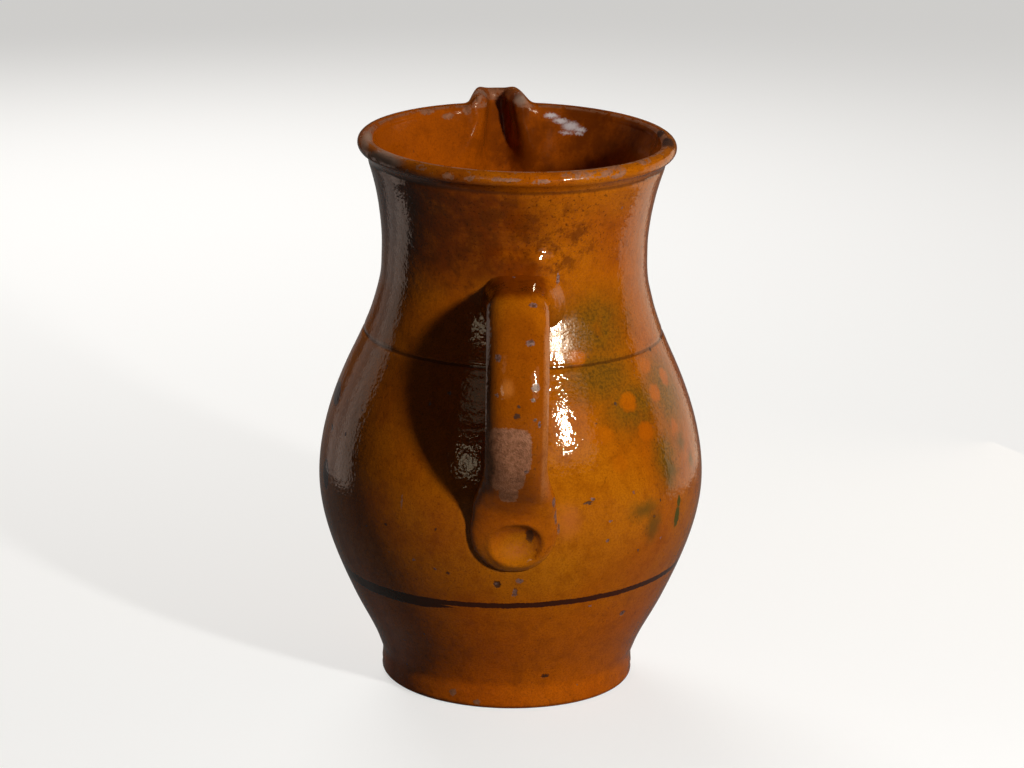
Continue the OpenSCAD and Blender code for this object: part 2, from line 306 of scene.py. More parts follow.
# Middle line of the strap: distance from the axis, height, and how both change there
SEAT = WALL * 0.45
PAD_MID = float(outer_r(PAD_Z)) + (PAD_T - SEAT) / 2
PAD_END_Z = PAD_Z - PAD_DROP
STRAP_NODES = [
    (float(outer_r(ROOT_Z)) - SEAT, ROOT_Z, 24, 6),
    (CROWN_AT, CROWN_Z, 14, -4),
    (GRIP_REACH - STRAP_T / 2, GRIP_Z, 0, -80),
    (PAD_MID + PAD_PROUD, PAD_Z + PAD_ABOVE, -14, -44),
    (float(outer_r(PAD_END_Z)) - SEAT / 2, PAD_END_Z, -14, -34),
]


def strap_mid(i, t):
    p, q = STRAP_NODES[i], STRAP_NODES[i + 1]
    return np.array([hermite(p[k], q[k], p[k + 2], q[k + 2], 1, t) for k in (0, 1)])


def strap_heading(i, t):
    p, q = STRAP_NODES[i], STRAP_NODES[i + 1]
    v = np.array([hermite_slope(p[k], q[k], p[k + 2], q[k + 2], 1, t) for k in (0, 1)])
    return v / np.hypot(*v)


def strap_size(i, t):
    """Width, thickness and closeness to the wall"""
    deep, wide = PAD_T + SEAT + 1, PAD_W - PAD_NARROWER
    if i == 0:
        f = (1 - t) ** ROOT_EASE
        return mix(STRAP_W, ROOT_W, f), mix(STRAP_T, ROOT_H, f), f
    if i == 1:
        return STRAP_W, STRAP_T, 0.0
    if i == 2:
        f = smooth(PAD_FROM, 1, t)
        return mix(STRAP_W, wide, f ** 1.5), mix(STRAP_T, deep, f), f
    f = math.sqrt(max(0.0, 1 - (max(0.0, t - PAD_FROM) / (1 - PAD_FROM)) ** 2))
    return mix(3, mix(wide, PAD_W, smooth(0, PAD_FROM, t)), f), mix(1, deep, f ** 0.7), 1.0


def strap_ring(i, t):
    c, (wide, deep, near) = strap_mid(i, t), strap_size(i, t)
    level = near if i == 0 else 0.0
    h = mix(strap_heading(i, t), np.array([1.0, 0.0]), level)
    h = h / np.hypot(*h)
    a = 2 * np.pi * np.arange(STRAP_POINTS) / STRAP_POINTS
    x = wide / 2 * np.sign(np.cos(a)) * np.abs(np.cos(a)) ** SIDE_ROUND
    o = deep / 2 * np.sign(np.sin(a)) * np.abs(np.sin(a)) ** FACE_ROUND
    x = x * (1 - FACE_TAPER * (1 - near) * np.clip(0.3 + 2 * o / deep, 0, None) / 1.3)
    o = o + strap_marks(i, t, x, o)
    x = x + ROOT_X * level
    z = c[1] + h[0] * o
    hug = near * (float(outer_r(c[1])) - np.sqrt(outer_r(z) ** 2 - x ** 2))
    return np.stack([x, h[1] * o - c[0] + hug, z], axis=-1)


def strap_marks(i, t, x, o):
    """Finger work on the strap's outer face, in mm outwards"""
    face = smooth(0.0, 2.0, o)
    if i < 2:
        return face * CROWN_WAVE * np.sin(6 * (i + t) + x / 4)
    if i == 2:
        line = -GRIP_LINE * bell(x, -1.0, 0.9) * (1 - smooth(0.55, 0.8, t))
        return face * (line + GRIP_WAVE * np.sin(9 * t + x / 3.5) + GRIP_RIPPLE * np.sin(23 * t - x / 6))
    return face * thumb_mark(x, strap_mid(i, t)[1] + strap_heading(i, t)[0] * np.abs(o))


def thumb_mark(x, z):
    """The cup the thumb pressed into the pad, with the rim it raised"""
    aside, down = x - THUMB_X, PAD_Z + THUMB_UP - z
    apart = np.hypot(aside / (THUMB_W / 2), down / (THUMB_H / 2))
    skew = 1 + THUMB_SKEW * aside / THUMB_W - THUMB_SKEW * down / THUMB_H
    return -THUMB_T * np.clip(1 - apart ** 2, 0, None) ** 0.8 * skew + THUMB_RIM * bell(apart, 1.1, 0.13)


def handle_points():
    rings = [strap_ring(0, k / ROOT_RINGS) for k in range(ROOT_RINGS)]
    rings += [strap_ring(1, k / ARCH_RINGS) for k in range(ARCH_RINGS)]
    rings += [strap_ring(2, k / GRIP_RINGS) for k in range(GRIP_RINGS)]
    rings += [strap_ring(3, 1 - (1 - k / PAD_RINGS) ** 1.3) for k in range(PAD_RINGS + 1)]
    return np.array(rings)


def tree_of(points):
    tree = KDTree(len(points))
    for n, point in enumerate(points):
        tree.insert(point, n)
    tree.balance()
    return tree


def join_clay(body, handle):
    """One closed skin round both, with the seam between them smoothed by the fingers"""
    known = tree_of([v.co for part in (body, handle) for v in part.data.vertices])
    join = body.modifiers.new("join", "BOOLEAN")
    join.operation, join.solver, join.object = "UNION", "MANIFOLD", handle
    view = bpy.context.evaluated_depsgraph_get()
    mesh = bpy.data.meshes.new_from_object(body.evaluated_get(view))
    body.modifiers.clear()
    body.data = mesh
    bpy.data.objects.remove(handle)
    co = np.empty(len(mesh.vertices) * 3)
    mesh.vertices.foreach_get("co", co)
    co = co.reshape(-1, 3)
    seam = tree_of([p for p in co if known.find(p)[2] > SAME_POINT])
    gap = np.array([seam.find(p)[2] for p in co]) / MM
    above = smooth(*SEAM_ABOVE_Z, co[:, 2] / MM)
    tip = 1 - smooth(*SEAM_TIP_Z, co[:, 2] / MM)
    weight = np.clip(1 - gap / (SEAM_REACH + SEAM_ABOVE * above + SEAM_TIP * tip), 0, 1)
    mesh.vertices.foreach_set("co", relaxed(mesh, co, weight).ravel())
    mesh.update()


def relaxed(mesh, co, weight):
    """Points drawn towards the middle of their neighbours, by weight"""
    edges = np.empty(len(mesh.edges) * 2, np.int64)
    mesh.edges.foreach_get("vertices", edges)
    edges = edges.reshape(-1, 2)
    edges = edges[(weight[edges[:, 0]] > 0) | (weight[edges[:, 1]] > 0)]
    degree = np.bincount(edges.ravel(), minlength=len(co)).astype(float)
    degree[degree == 0] = 1
    for _ in range(SEAM_ROUNDS):
        total = np.zeros_like(co)
        np.add.at(total, edges[:, 0], co[edges[:, 1]])
        np.add.at(total, edges[:, 1], co[edges[:, 0]])
        mean = np.where(degree[:, None] > 1, total / degree[:, None], co)
        co = co + (mean - co) * (SEAM_EASE * weight)[:, None]
    return co


def make_jug():
    body = bpy.data.objects.new("jug_skin", closed_mesh("jug_skin", body_points()))
    handle = bpy.data.objects.new("handle", closed_mesh("handle", handle_points()))
    for part in (body, handle):
        bpy.context.scene.collection.objects.link(part)
    bpy.context.view_layer.update()
    join_clay(body, handle)
    body.data.polygons.foreach_set("use_smooth", [True] * len(body.data.polygons))
    body.data.update()
    return body


# ---- materials


def rgb(r, g, b):
    """A screen colour from 0 to 255, as the shader takes it"""
    def linear(v):
        v = v / 255
        return v / 12.92 if v <= 0.04045 else ((v + 0.055) / 1.055) ** 2.4
    return (linear(r), linear(g), linear(b), 1.0)


class Tree:
    """Short ways to add nodes to a node tree"""

    def __init__(self, tree):
        self.tree = tree

    def add(self, kind, values=(), **settings):
        node = self.tree.nodes.new(kind)
        for key, value in settings.items():
            setattr(node, key, value)
        for key, value in dict(values).items():
            self.put(node.inputs[key], value)
        return node

    def put(self, socket, value):
        if isinstance(value, bpy.types.NodeSocket):
            self.tree.links.new(value, socket)
        else:
            socket.default_value = value

    def math(self, operation, a, b=0.0):
        return self.add("ShaderNodeMath", {0: a, 1: b}, operation=operation).outputs[0]

    def vector(self, operation, a, b=(0.0, 0.0, 0.0)):
        node = self.add("ShaderNodeVectorMath", {0: a, 1: b}, operation=operation)
        return node.outputs["Value" if operation in ("LENGTH", "DOT_PRODUCT") else "Vector"]

    def scale(self, vector, by):
        return self.add("ShaderNodeVectorMath", {0: vector, "Scale": by}, operation="SCALE").outputs[0]

    def noise(self, where, scale, detail=3.0, rough=0.5):
        values = {"Vector": where, "Scale": scale, "Detail": detail, "Roughness": rough}
        return self.add("ShaderNodeTexNoise", values).outputs["Fac"]

    def ramp(self, value, low, high, to_low=0.0, to_high=1.0):
        ends = {"Value": value, "From Min": low, "From Max": high, "To Min": to_low, "To Max": to_high}
        return self.add("ShaderNodeMapRange", ends, interpolation_type="SMOOTHSTEP").outputs[0]

    def blend(self, mask, a, b):
        return self.add("ShaderNodeMix", {0: mask, 6: a, 7: b}, data_type="RGBA", blend_type="MIX").outputs[2]

    def chain(self, operation, values):
        total = values[0]
        for value in values[1:]:
            total = self.math(operation, total, value)
        return total

    def most(self, values):
        return self.chain("MAXIMUM", values)

    def times(self, *values):
        return self.chain("MULTIPLY", values)

    def without(self, value):
        return self.math("SUBTRACT", 1.0, value)

    def tint(self, color, other, *amounts):
        """A colour turned towards another by the product of the amounts"""
        return self.blend(self.times(*amounts), color, other)


def on_wall(azimuth, z):
    """A point on the outside of the body"""
    r = float(outer_r(z))
    a = math.radians(azimuth)
    return (r * math.sin(a), -r * math.cos(a), z)


def lip_place(azimuth, z):
    """A point on the outer side of the rolled lip"""
    r = MOUTH_R + LIP_D / 2 * math.sqrt(max(0.0, 1 - ((z - LIP_Z) / (LIP_D / 2 + 0.1)) ** 2))
    a = math.radians(azimuth)
    r = r + MOUTH_OVAL * math.cos(a) ** 2
    return (r * math.sin(a), -r * math.cos(a), z)


# Colours of the glaze, from its plain honey to its stains, with painted shade, a painted reflection and a painted
# highlight among them
HONEY, HONEY_LIGHT, HONEY_YELLOW, HONEY_RED = rgb(166, 80, 2), rgb(177, 94, 3), rgb(186, 110, 12), rgb(196, 86, 1)
NECK_BROWN, CROWN_POOL_AND_SHADE, STRAP_HONEY = rgb(110, 44, 2), rgb(112, 44, 2), rgb(136, 64, 2)
# Painted shade for the strap's left edge and a painted reflection for its right edge
BEVEL_PAINTED_SHADE, BEVEL_PAINTED_REFLECTION = rgb(104, 56, 14), rgb(206, 132, 70)
# The glaze inside, and the same glaze with painted shade
INSIDE_LIT, INSIDE_SHADY = rgb(172, 80, 2), rgb(108, 46, 3)
MOTTLE_BROWN, STAIN_BROWN, GRAIN_BROWN = rgb(124, 54, 1), rgb(88, 38, 3), rgb(112, 50, 2)
SPECK_BROWN, STREAK_BROWN, CREASE_BROWN = rgb(62, 27, 2), rgb(92, 38, 2), rgb(56, 27, 8)
OLIVE_LIGHT, OLIVE_DARK, OLIVE_STAIN, GREEN_RUN = rgb(128, 80, 12), rgb(94, 62, 13), rgb(80, 62, 16), rgb(58, 66, 14)
SPOT_ORANGE, RING_BLACK, EDGE_BLACK = rgb(180, 90, 3), rgb(62, 26, 12), rgb(50, 47, 55)
PAD_PINK, STRAP_PALE, THUMB_PAINTED_HIGHLIGHT = rgb(190, 100, 46), rgb(206, 124, 52), rgb(204, 110, 54)

# Colours of the bare clay, the wear and the pits, with a painted shadow among the dark pits and a painted white
# reflection
CLAY_LIGHT, CLAY_DARK, CLAY_SPECK = rgb(154, 100, 70), rgb(122, 74, 46), rgb(74, 44, 30)
RIM_GREY, RIM_BROWN, REFLECTION_WHITE = rgb(150, 132, 116), rgb(50, 34, 28), rgb(214, 206, 204)
POPPED_DARK, POPPED_GREY, PIT_AND_SHADOW_DARK = rgb(46, 24, 12), rgb(96, 70, 62), rgb(38, 22, 16)
PIT_GREY, PIT_SHADE = rgb(122, 92, 84), rgb(62, 42, 38)

# Marks on the outside of the wall: degrees from the handle, height, half width, half height
DARK_PITS = [(-19.9, 71, 0.9, 0.8), (15.9, 16, 2.3, 1.3), (22, 104.6, 2.6, 0.9), (48.7, 99, 0.8, 0.8),
             (41, 78, 0.8, 0.8), (36, 144, 1.0, 1.0), (-22.9, 91.6, 0.8, 0.8), (-40.2, 89, 1.3, 1.0),
             (-63.5, 121.5, 1.0, 1.3), (-53, 154, 0.8, 1.3), (-57.8, 134, 0.8, 0.8), (15.6, 213, 1.0, 0.8),
             (26.5, 206.5, 0.9, 0.6), (-4.7, 67, 2.0, 2.3), (63.3, 160.5, 1.3, 1.0), (-50, 209, 1.0, 2.0),
             (-46, 232, 1.6, 1.6)]
GREY_PITS = [(0.8, 63, 1.3, 3.6), (2.2, 69, 2.0, 1.6), (43.4, 45, 1.9, 1.5), (27.2, 53, 1.1, 0.8),
             (29.3, 95, 1.0, 0.8), (28.7, 86, 1.1, 1.0), (-23.2, 149.5, 1.2, 1.2), (-29.7, 144, 0.9, 1.0),
             (50.6, 80.6, 0.9, 0.8), (-24, 72, 1.0, 0.8), (-31, 75, 1.0, 0.8), (23.5, 106, 1.3, 0.8),
             (-4.9, 67.3, 0.9, 1.1)]
DEEP_PITS = [(15.9, 16, 2.3, 1.3), (22, 104.6, 2.6, 0.9), (-4.7, 67, 2.0, 2.3), (0.8, 63, 1.3, 3.6),
             (43.4, 45, 1.9, 1.5)]
PALE_CHIPS = [(-34.4, 101.5, 0.5, 4.2), (-26, 6, 2.0, 2.0), (-14.4, 2.9, 1.8, 1.4), (15.9, 16, 1.0, 0.7),
              (43, 44, 0.7, 0.6), (-40, 76, 0.6, 0.5), (-12, 96, 0.5, 0.5), (33, 9, 0.6, 0.6)]
ORANGE_SPOTS = [(41.6, 143.5, 6.0, 5.4), (56.2, 143.7, 5.0, 5.0), (28.2, 132, 8.0, 5.0), (46.1, 130, 6.0, 5.5),
                (33.7, 119, 5.5, 5.0), (55.9, 155.7, 5.0, 4.4), (66, 148, 4.5, 5.5), (24, 164, 5.0, 4.5),
                (62, 126, 4.0, 7.0)]
GREEN_ZONES = [(34, 176, 34, 24), (32, 156, 30, 20), (44, 141, 28, 20), (62, 142, 24, 28), (54, 118, 16, 26)]
GREEN_SPOTS = [(63.5, 120.5, 7.0, 8.0), (54, 110, 7.0, 11.0), (69, 110, 5.0, 6.0), (42, 97, 14.0, 7.0),
               (46, 88, 8, 12)]
GREEN_RUNS = [(58, 88, 2.6, 6.5), (58.5, 95, 1.8, 3.5)]

# Chips on the rolled lip, likewise, and how much larger they are drawn
LIP_CHIPS = [(-40.8, 244.5, 1.8, 1.3), (-35.9, 248, 2.0, 1.0), (-24.7, 245.8, 2.0, 1.4), (-15, 246, 3.4, 1.0),
             (-5, 246.6, 5.0, 0.6), (6, 246, 3.6, 0.8), (19, 248, 4.5, 1.2), (28, 247.6, 4.0, 1.2),
             (35, 247.5, 3.4, 2.2), (-62, 246, 5.0, 2.0), (50, 249, 3.0, 1.0)]
CHIP_WIDER, CHIP_TALLER = 1.7, 1.5

# Marks on the handle, the rim and inside: middle and reach in x, y, z
STRAP_PITS = [((-8.5, -104, 176), (1.6, 4, 1.9)), ((5, -101, 182), (2.2, 4, 1.5)),
              ((7.7, -109.5, 164.6), (2.3, 4, 2.1)), ((6.5, -111, 159.7), (1.3, 4, 1.2)),
              ((-8.8, -109.7, 161.3), (0.9, 4, 0.9)), ((7.5, -111, 151), (0.9, 4, 0.9)),
              ((9.5, -110, 149), (0.8, 4, 2.0)), ((17.6, -58, 199.8), (0.8, 4, 3.4)),
              ((17, -91, 108), (0.9, 3, 3.0)), ((18.4, -88, 101), (1.3, 3, 5.0)),
              ((19.6, -86, 94), (0.8, 3, 4.0)), ((6.3, -87.4, 195), (2.4, 2.0, 1.4)),
              ((-11, -74, 200), (1.4, 3, 2)), ((4.5, -108, 127), (1.3, 4, 1.3))]
# Dark pits on the strap, and a painted shadow in the upper right of the thumb mark
STRAP_DARK_PITS_AND_SHADOW = [((-0.2, -112.4, 152.8), (1.7, 4, 1.6)), ((0.5, -112, 157), (0.8, 3, 0.8)),
               ((7, -88, 92), (2.2, 3, 5.0))]
WORN_BOXES = [((-3.2, -108, 136), (10.2, 30, 12.0)), ((-4.0, -106, 127.5), (8.4, 25, 11.5)),
              ((-2.8, -104, 119), (4.4, 20, 9.4))]
RIM_WORN = [((-15.8, 71, 252), (4.6, 8, 4.2)), ((2.8, 69, 251.5), (4.2, 8, 4.2)),
            ((-66.5, -8, 248), (3.6, 26, 3.2)), ((-57, -41, 247.6), (14, 19, 3.4))]
RIM_DARK = [((66.5, -8, 248.5), (3.5, 13, 2.6)), ((64, 12, 249), (2.5, 6, 2.0))]
INSIDE_PALE = [((-40, 54.2, 248), (5.4, 4.5, 1.5)), ((-30.3, 59.4, 245), (3.6, 3.5, 1.6)),
               ((-21.7, 63, 247), (2.4, 3, 2.4))]
# A painted white reflection inside the lip on the right
PAINTED_REFLECTION_SPOTS = [((17, 64.3, 244.8), (4.6, 5, 1.5)), ((21.5, 62, 243), (5.4, 5, 1.7)), ((26, 59, 241.2), (6.0, 6, 2.9)),
           ((30, 56, 240.4), (4.6, 5, 1.6)), ((25, 59.4, 238.2), (5.4, 4, 1.3)), ((30, 56.5, 238.6), (3.4, 4, 1.3))]
LEFT_BLACK = [((-78.5, -10, 133), (2.6, 12, 7)), ((-83, -24, 99), (2.4, 7, 8)), ((-80, -20, 119), (1, 4, 3))]

# Painted ring: height, half width and how far its edge is blurred, its tilt along x and y, and the second stroke
PAINT_Z, PAINT_W, PAINT_BLUR, PAINT_TILT = 57.1, 1.2, 0.35, (0.0332, 0.0118)
STROKE_Z, STROKE_W, STROKE_END_X, STROKE_END_Y = 54.9, 1.9, -23.0, 8.0

# Relief of the glaze in mm, and how shiny it is
PEEL, DIMPLES, STREAKS, PIT_DEPTH, PATCH_DEPTH, PATCH_GRAIN = 0.15, 0.07, 0.03, -0.35, -0.15, 0.3
SMOOTHEST, DULLEST, DULL_INSIDE, GLAZE_IOR, GLAZE_SHINE = 0.018, 0.05, 0.22, 1.38, (1.0, 0.88, 0.66, 1)


class Skin(Tree):
    """The glaze's nodes: places on the jug in mm, grain of several sizes, and masks drawn round places"""

    def __init__(self, tree):
        super().__init__(tree)
        self.place = self.scale(self.add("ShaderNodeTexCoord").outputs["Object"], 1 / MM)
        self.x, self.y, self.z = self.add("ShaderNodeSeparateXYZ", {0: self.place}).outputs
        self.loose = self.shaken(0.3, 6.0)
        self.torn = self.shaken(1.0, 2.2)
        self.mottle = self.noise(self.place, 0.16, 5.0, 0.6)
        self.speck = self.noise(self.place, 0.85, 3.0, 0.65)
        self.streak = self.noise(self.vector("MULTIPLY", self.place, (0.03, 0.03, 0.75)), 1.0, 3.0, 0.6)
        self.grain = self.noise(self.place, 1.3, 2.0, 0.6)
        flat = self.vector("MULTIPLY", self.place, (1, 1, 0))
        self.radius = self.vector("LENGTH", flat)
        normal = self.add("ShaderNodeNewGeometry").outputs["Normal"]
        self.facing = self.vector("DOT_PRODUCT", normal, self.vector("NORMALIZE", flat))
        self.outside = self.ramp(self.facing, -0.25, 0.1)

    def shaken(self, scale, by):
        """The place moved about by noise, so that what is drawn there has a ragged edge"""
        noise = self.add("ShaderNodeTexNoise", {"Vector": self.place, "Scale": scale, "Detail": 3.0})
        moved = self.vector("SUBTRACT", noise.outputs["Color"], (0.5, 0.5, 0.5))
        return self.vector("ADD", self.place, self.scale(moved, by))

    def inside(self, where, middle, reach):
        """How far inside an egg-shaped blot a place is: 1 in its middle, 0 at its edge and beyond"""
        place = {"Vector": where, "Location": middle, "Scale": reach}
        egg = self.add("ShaderNodeMapping", place, vector_type="TEXTURE").outputs[0]
        return self.add("ShaderNodeTexGradient", {"Vector": egg}, gradient_type="SPHERICAL").outputs["Fac"]

    def boxy(self, where, middle, reach):
        """Like inside, for a blot with square shoulders"""
        apart = self.vector("DIVIDE", self.vector("SUBTRACT", where, middle), reach)
        return self.without(self.math("SQRT", self.vector("LENGTH", self.vector("MULTIPLY", apart, apart))))

    def blot(self, where, middle, reach, edge):
        return self.ramp(self.inside(where, middle, reach), 0.0, edge)

    def marks(self, where, spots, edge):
        return self.ramp(self.most([self.inside(where, middle, reach) for middle, reach in spots]), 0.0, edge)

    def wall_marks(self, where, spots, edge):
        return self.marks(where, [(on_wall(a, z), (w, w, h)) for a, z, w, h in spots], edge)

    def off(self, value, middle):
        return self.math("ABSOLUTE", self.math("SUBTRACT", value, middle))

    def band(self, value, middle, full, none):
        """1 within full of the middle, 0 beyond none"""
        return self.ramp(self.off(value, middle), full, none, 1.0, 0.0)


def honey_base(s):
    """Honey brown with slow blotches, browner on the neck and the strap, with thick glaze and painted shade on the
    strap's top by the root, yellower and redder below the belly
    """
    slow = s.noise(s.place, 0.022, 2.0)
    color = s.blend(s.ramp(slow, 0.35, 0.65), HONEY, HONEY_LIGHT)
    blotch = s.ramp(s.noise(s.place, 0.1, 4.0, 0.6), 0.3, 0.6)
    neck = s.blot(s.loose, on_wall(-28, 222), (52, 60, 34), 0.5)
    color = s.tint(color, NECK_BROWN, neck, s.ramp(blotch, 0.0, 1.0, 0.6, 1.0))
    # Thick glaze and painted shade on the strap's top where it leaves the neck
    color = s.tint(color, CROWN_POOL_AND_SHADE, s.blot(s.loose, (0, -72, 202), (22, 17, 11), 0.4), 0.85)
    low = s.blot(s.loose, on_wall(14, 100), (66, 60, 50), 0.6)
    color = s.tint(color, HONEY_YELLOW, low, s.ramp(s.radius, 86.8, 88.6, 0.5, 0.0))
    color = s.tint(color, HONEY_RED, s.ramp(s.z, 70, 30), s.outside, 0.5)
    return s.tint(color, STRAP_HONEY, s.blot(s.loose, (0, -108, 152), (22, 30, 64), 0.3), 0.75)


def strap_bevel_shade_and_reflection(s, color):
    """The strap's long edges, with painted shade on the left and a painted reflection on the right"""
    strap = s.times(s.blot(s.place, (0, -108, 150), (40, 24, 60), 0.3), s.ramp(s.radius, 88, 92))
    color = s.tint(color, BEVEL_PAINTED_SHADE, strap, s.ramp(s.x, -8.4, -9.6), 0.4)
    return s.tint(color, BEVEL_PAINTED_REFLECTION, strap, s.ramp(s.x, 10.4, 11.8), 0.35)


def inner_glaze(s, color):
    """The glaze inside, with painted shade in clouds towards the right"""
    clouds = s.ramp(s.noise(s.place, 0.07, 4.0, 0.65), 0.38, 0.6, 0.45, 1.0)
    within = s.blend(s.times(clouds, s.ramp(s.x, -45, 0, 0.2, 1.0)), INSIDE_LIT, INSIDE_SHADY)
    return s.blend(s.without(s.outside), color, within)


def brown_stains(s, color):
    """Mottle and fine grain all over, with stains, specks and brushed streaks that are strongest on the neck"""
    color = s.blend(s.ramp(s.mottle, 0.42, 0.75, 0.0, 0.45), color, MOTTLE_BROWN)
    stain = s.ramp(s.noise(s.place, 0.13, 4.0, 0.7), 0.46, 0.62, 0.0, 0.7)
    color = s.tint(color, STAIN_BROWN, stain, s.blot(s.loose, on_wall(-14, 216), (66, 60, 30), 0.4), s.outside)
    color = s.blend(s.ramp(s.grain, 0.42, 0.62, 0.0, 0.3), color, GRAIN_BROWN)
    patches = s.ramp(s.noise(s.place, 0.05, 3.0, 0.6), 0.4, 0.65)
    strong = s.most([s.times(patches, 0.5), s.times(s.ramp(s.z, 196, 214), s.outside)])
    color = s.tint(color, SPECK_BROWN, s.ramp(s.speck, 0.55, 0.7, 0.0, 0.75), s.ramp(strong, 0.0, 1.0, 0.35, 1.0))
    brushed = s.times(s.blot(s.loose, on_wall(-22, 219), (34, 60, 16), 0.6), s.outside)
    return s.tint(color, STREAK_BROWN, brushed, s.ramp(s.streak, 0.42, 0.7, 0.0, 0.4))


def green_mottle(s, color):
    """Olive clouds on the right of the belly, with orange spots left free, and dark green runs"""
    cloud = s.ramp(s.noise(s.place, 0.06, 5.0, 0.6), 0.3, 0.52, 0.6, 1.0)
    spots = s.wall_marks(s.shaken(0.5, 3.0), ORANGE_SPOTS, 0.45)
    olive = s.blend(s.ramp(s.speck, 0.4, 0.62), OLIVE_LIGHT, OLIVE_DARK)
    color = s.tint(color, olive, s.wall_marks(s.loose, GREEN_ZONES, 0.85), cloud, s.without(spots), 0.95)
    color = s.tint(color, SPOT_ORANGE, spots, 0.35)
    color = s.tint(color, OLIVE_STAIN, s.wall_marks(s.loose, GREEN_SPOTS, 1.0), 0.75)
    return s.tint(color, GREEN_RUN, s.wall_marks(s.torn, GREEN_RUNS, 0.4), 0.9)


def creases(s, color):
    """Glaze gathered dark in the incised line and under the lip"""
    on_body = s.math("LESS_THAN", s.radius, 76.0)
    groove = s.times(s.band(s.z, GROOVE_Z, 0.3, 0.9), s.outside, on_body, 0.6)
    under_lip = s.times(s.band(s.z, LIP_FOOT - 0.4, 0.3, 1.3), s.outside, 0.5)
    return s.blend(s.most([groove, under_lip]), color, CREASE_BROWN)


def pale_places_and_thumb_highlight(s, color):
    """Pale places beside the pad and on the strap's face, and a speckled painted highlight low in the thumb mark"""
    color = s.tint(color, PAD_PINK, s.blot(s.loose, (24, -83, 97), (9, 5, 12), 1.0), 0.4)
    color = s.tint(color, STRAP_PALE, s.blot(s.torn, (-4.4, -109.6, 164), (4.2, 5, 5.6), 0.8), 0.4)
    # A speckled painted highlight in the lower part of the thumb mark
    thumb = s.blot(s.torn, (1.5, -86.6, 84.5), (8.5, 5, 6), 1.0)
    return s.tint(color, THUMB_PAINTED_HIGHLIGHT, thumb, s.ramp(s.grain, 0.35, 0.6, 0.0, 0.38))


def painted_ring(s):
    """The ring round the flank, drawn a second time on the left"""
    tilt_x, tilt_y = PAINT_TILT
    tilt = s.math("ADD", s.times(s.x, tilt_x), s.times(s.y, tilt_y))
    wobble = s.math("SUBTRACT", s.noise(s.place, 0.12, 3.0), 0.5)
    fray = s.times(s.math("SUBTRACT", s.noise(s.place, 0.9, 2.0), 0.5), 0.7)
    level = s.math("SUBTRACT", s.z, s.chain("ADD", [tilt, wobble, fray]))
    ring = s.band(level, PAINT_Z, PAINT_W, PAINT_W + PAINT_BLUR)
    stroke = s.math("LESS_THAN", s.off(level, STROKE_Z), s.ramp(s.x, -40, STROKE_END_X, STROKE_W, 0.0))
    stroke = s.times(stroke, s.math("LESS_THAN", s.x, STROKE_END_X), s.math("LESS_THAN", s.y, STROKE_END_Y))
    return s.times(s.most([ring, stroke]), s.outside)


def bare_clay(s):
    """The rim, its lobes and chips and the underside where the glaze is rubbed off, and pale clay-coloured marks
    inside the lip
    """
    rim = s.math("SUBTRACT", s.z, s.ramp(s.y, -30, 30, 0.0, 2.4))
    above = s.ramp(rim, 245.3, 246.6)
    gnawed = s.noise(s.place, 0.25, 4.0, 0.68)
    inward = s.math("SUBTRACT", s.facing, s.ramp(s.y, -45, 40, 0.3, -0.4))
    edge = s.times(above, s.ramp(inward, 0.0, -0.12), s.ramp(gnawed, 0.38, 0.5))
    crumbs = s.times(above, s.ramp(gnawed, 0.6, 0.66), 0.8)
    chips = s.wall_marks(s.torn, PALE_CHIPS, 0.25)
    spots = [(lip_place(a, z), (CHIP_WIDER * w, CHIP_WIDER * w, CHIP_TALLER * h)) for a, z, w, h in LIP_CHIPS]
    lip = s.times(s.marks(s.torn, spots, 0.3), s.ramp(gnawed, 0.43, 0.5))
    lobes = s.times(s.marks(s.torn, RIM_WORN, 0.6), 0.9)
    pale = s.marks(s.torn, INSIDE_PALE, 0.4)
    underneath = s.ramp(s.z, 0.25, 0.05)
    return s.most([edge, crumbs, chips, lip, lobes, pale, underneath])


def clay_color(s):
    """Fired clay, greyer where the rim is worn most"""
    clay = s.blend(s.ramp(s.noise(s.place, 0.5, 4.0, 0.65), 0.35, 0.65), CLAY_LIGHT, CLAY_DARK)
    clay = s.blend(s.ramp(s.speck, 0.58, 0.7, 0.0, 0.5), clay, CLAY_SPECK)
    return s.tint(clay, RIM_GREY, s.marks(s.torn, RIM_WORN, 0.6), 0.6)


def popped_pits(s, color):
    """Small pits scattered over the whole jug where the glaze has popped, half of them grey"""
    cells = s.add("ShaderNodeTexVoronoi", {"Vector": s.torn, "Scale": 0.11}, feature="F1").outputs
    pick = s.add("ShaderNodeSeparateColor", {0: cells["Color"]}).outputs
    pits = s.times(s.ramp(cells["Distance"], 0.04, 0.1, 1.0, 0.0), s.math("GREATER_THAN", pick[0], 0.78))
    inner = s.blend(s.math("GREATER_THAN", pick[1], 0.5), POPPED_DARK, POPPED_GREY)
    return s.tint(color, inner, pits, 0.75), pits


def placed_pits(s, color):
    """The pits that can be made out one by one, dark ones and dull grey ones, with a painted shadow in the thumb
    mark among the dark ones
    """
    # The dark ones take in a painted shadow in the upper right of the thumb mark
    dark = s.most([s.wall_marks(s.torn, DARK_PITS, 0.4), s.marks(s.torn, STRAP_DARK_PITS_AND_SHADOW, 0.4)])
    dull = s.most([s.wall_marks(s.torn, GREY_PITS, 0.35), s.marks(s.torn, STRAP_PITS, 0.35)])
    color = s.tint(color, PIT_AND_SHADOW_DARK, dark, 0.85)
    color = s.tint(color, s.blend(s.ramp(s.speck, 0.4, 0.6), PIT_GREY, PIT_SHADE), dull, 0.85)
    return color, s.most([dark, dull])


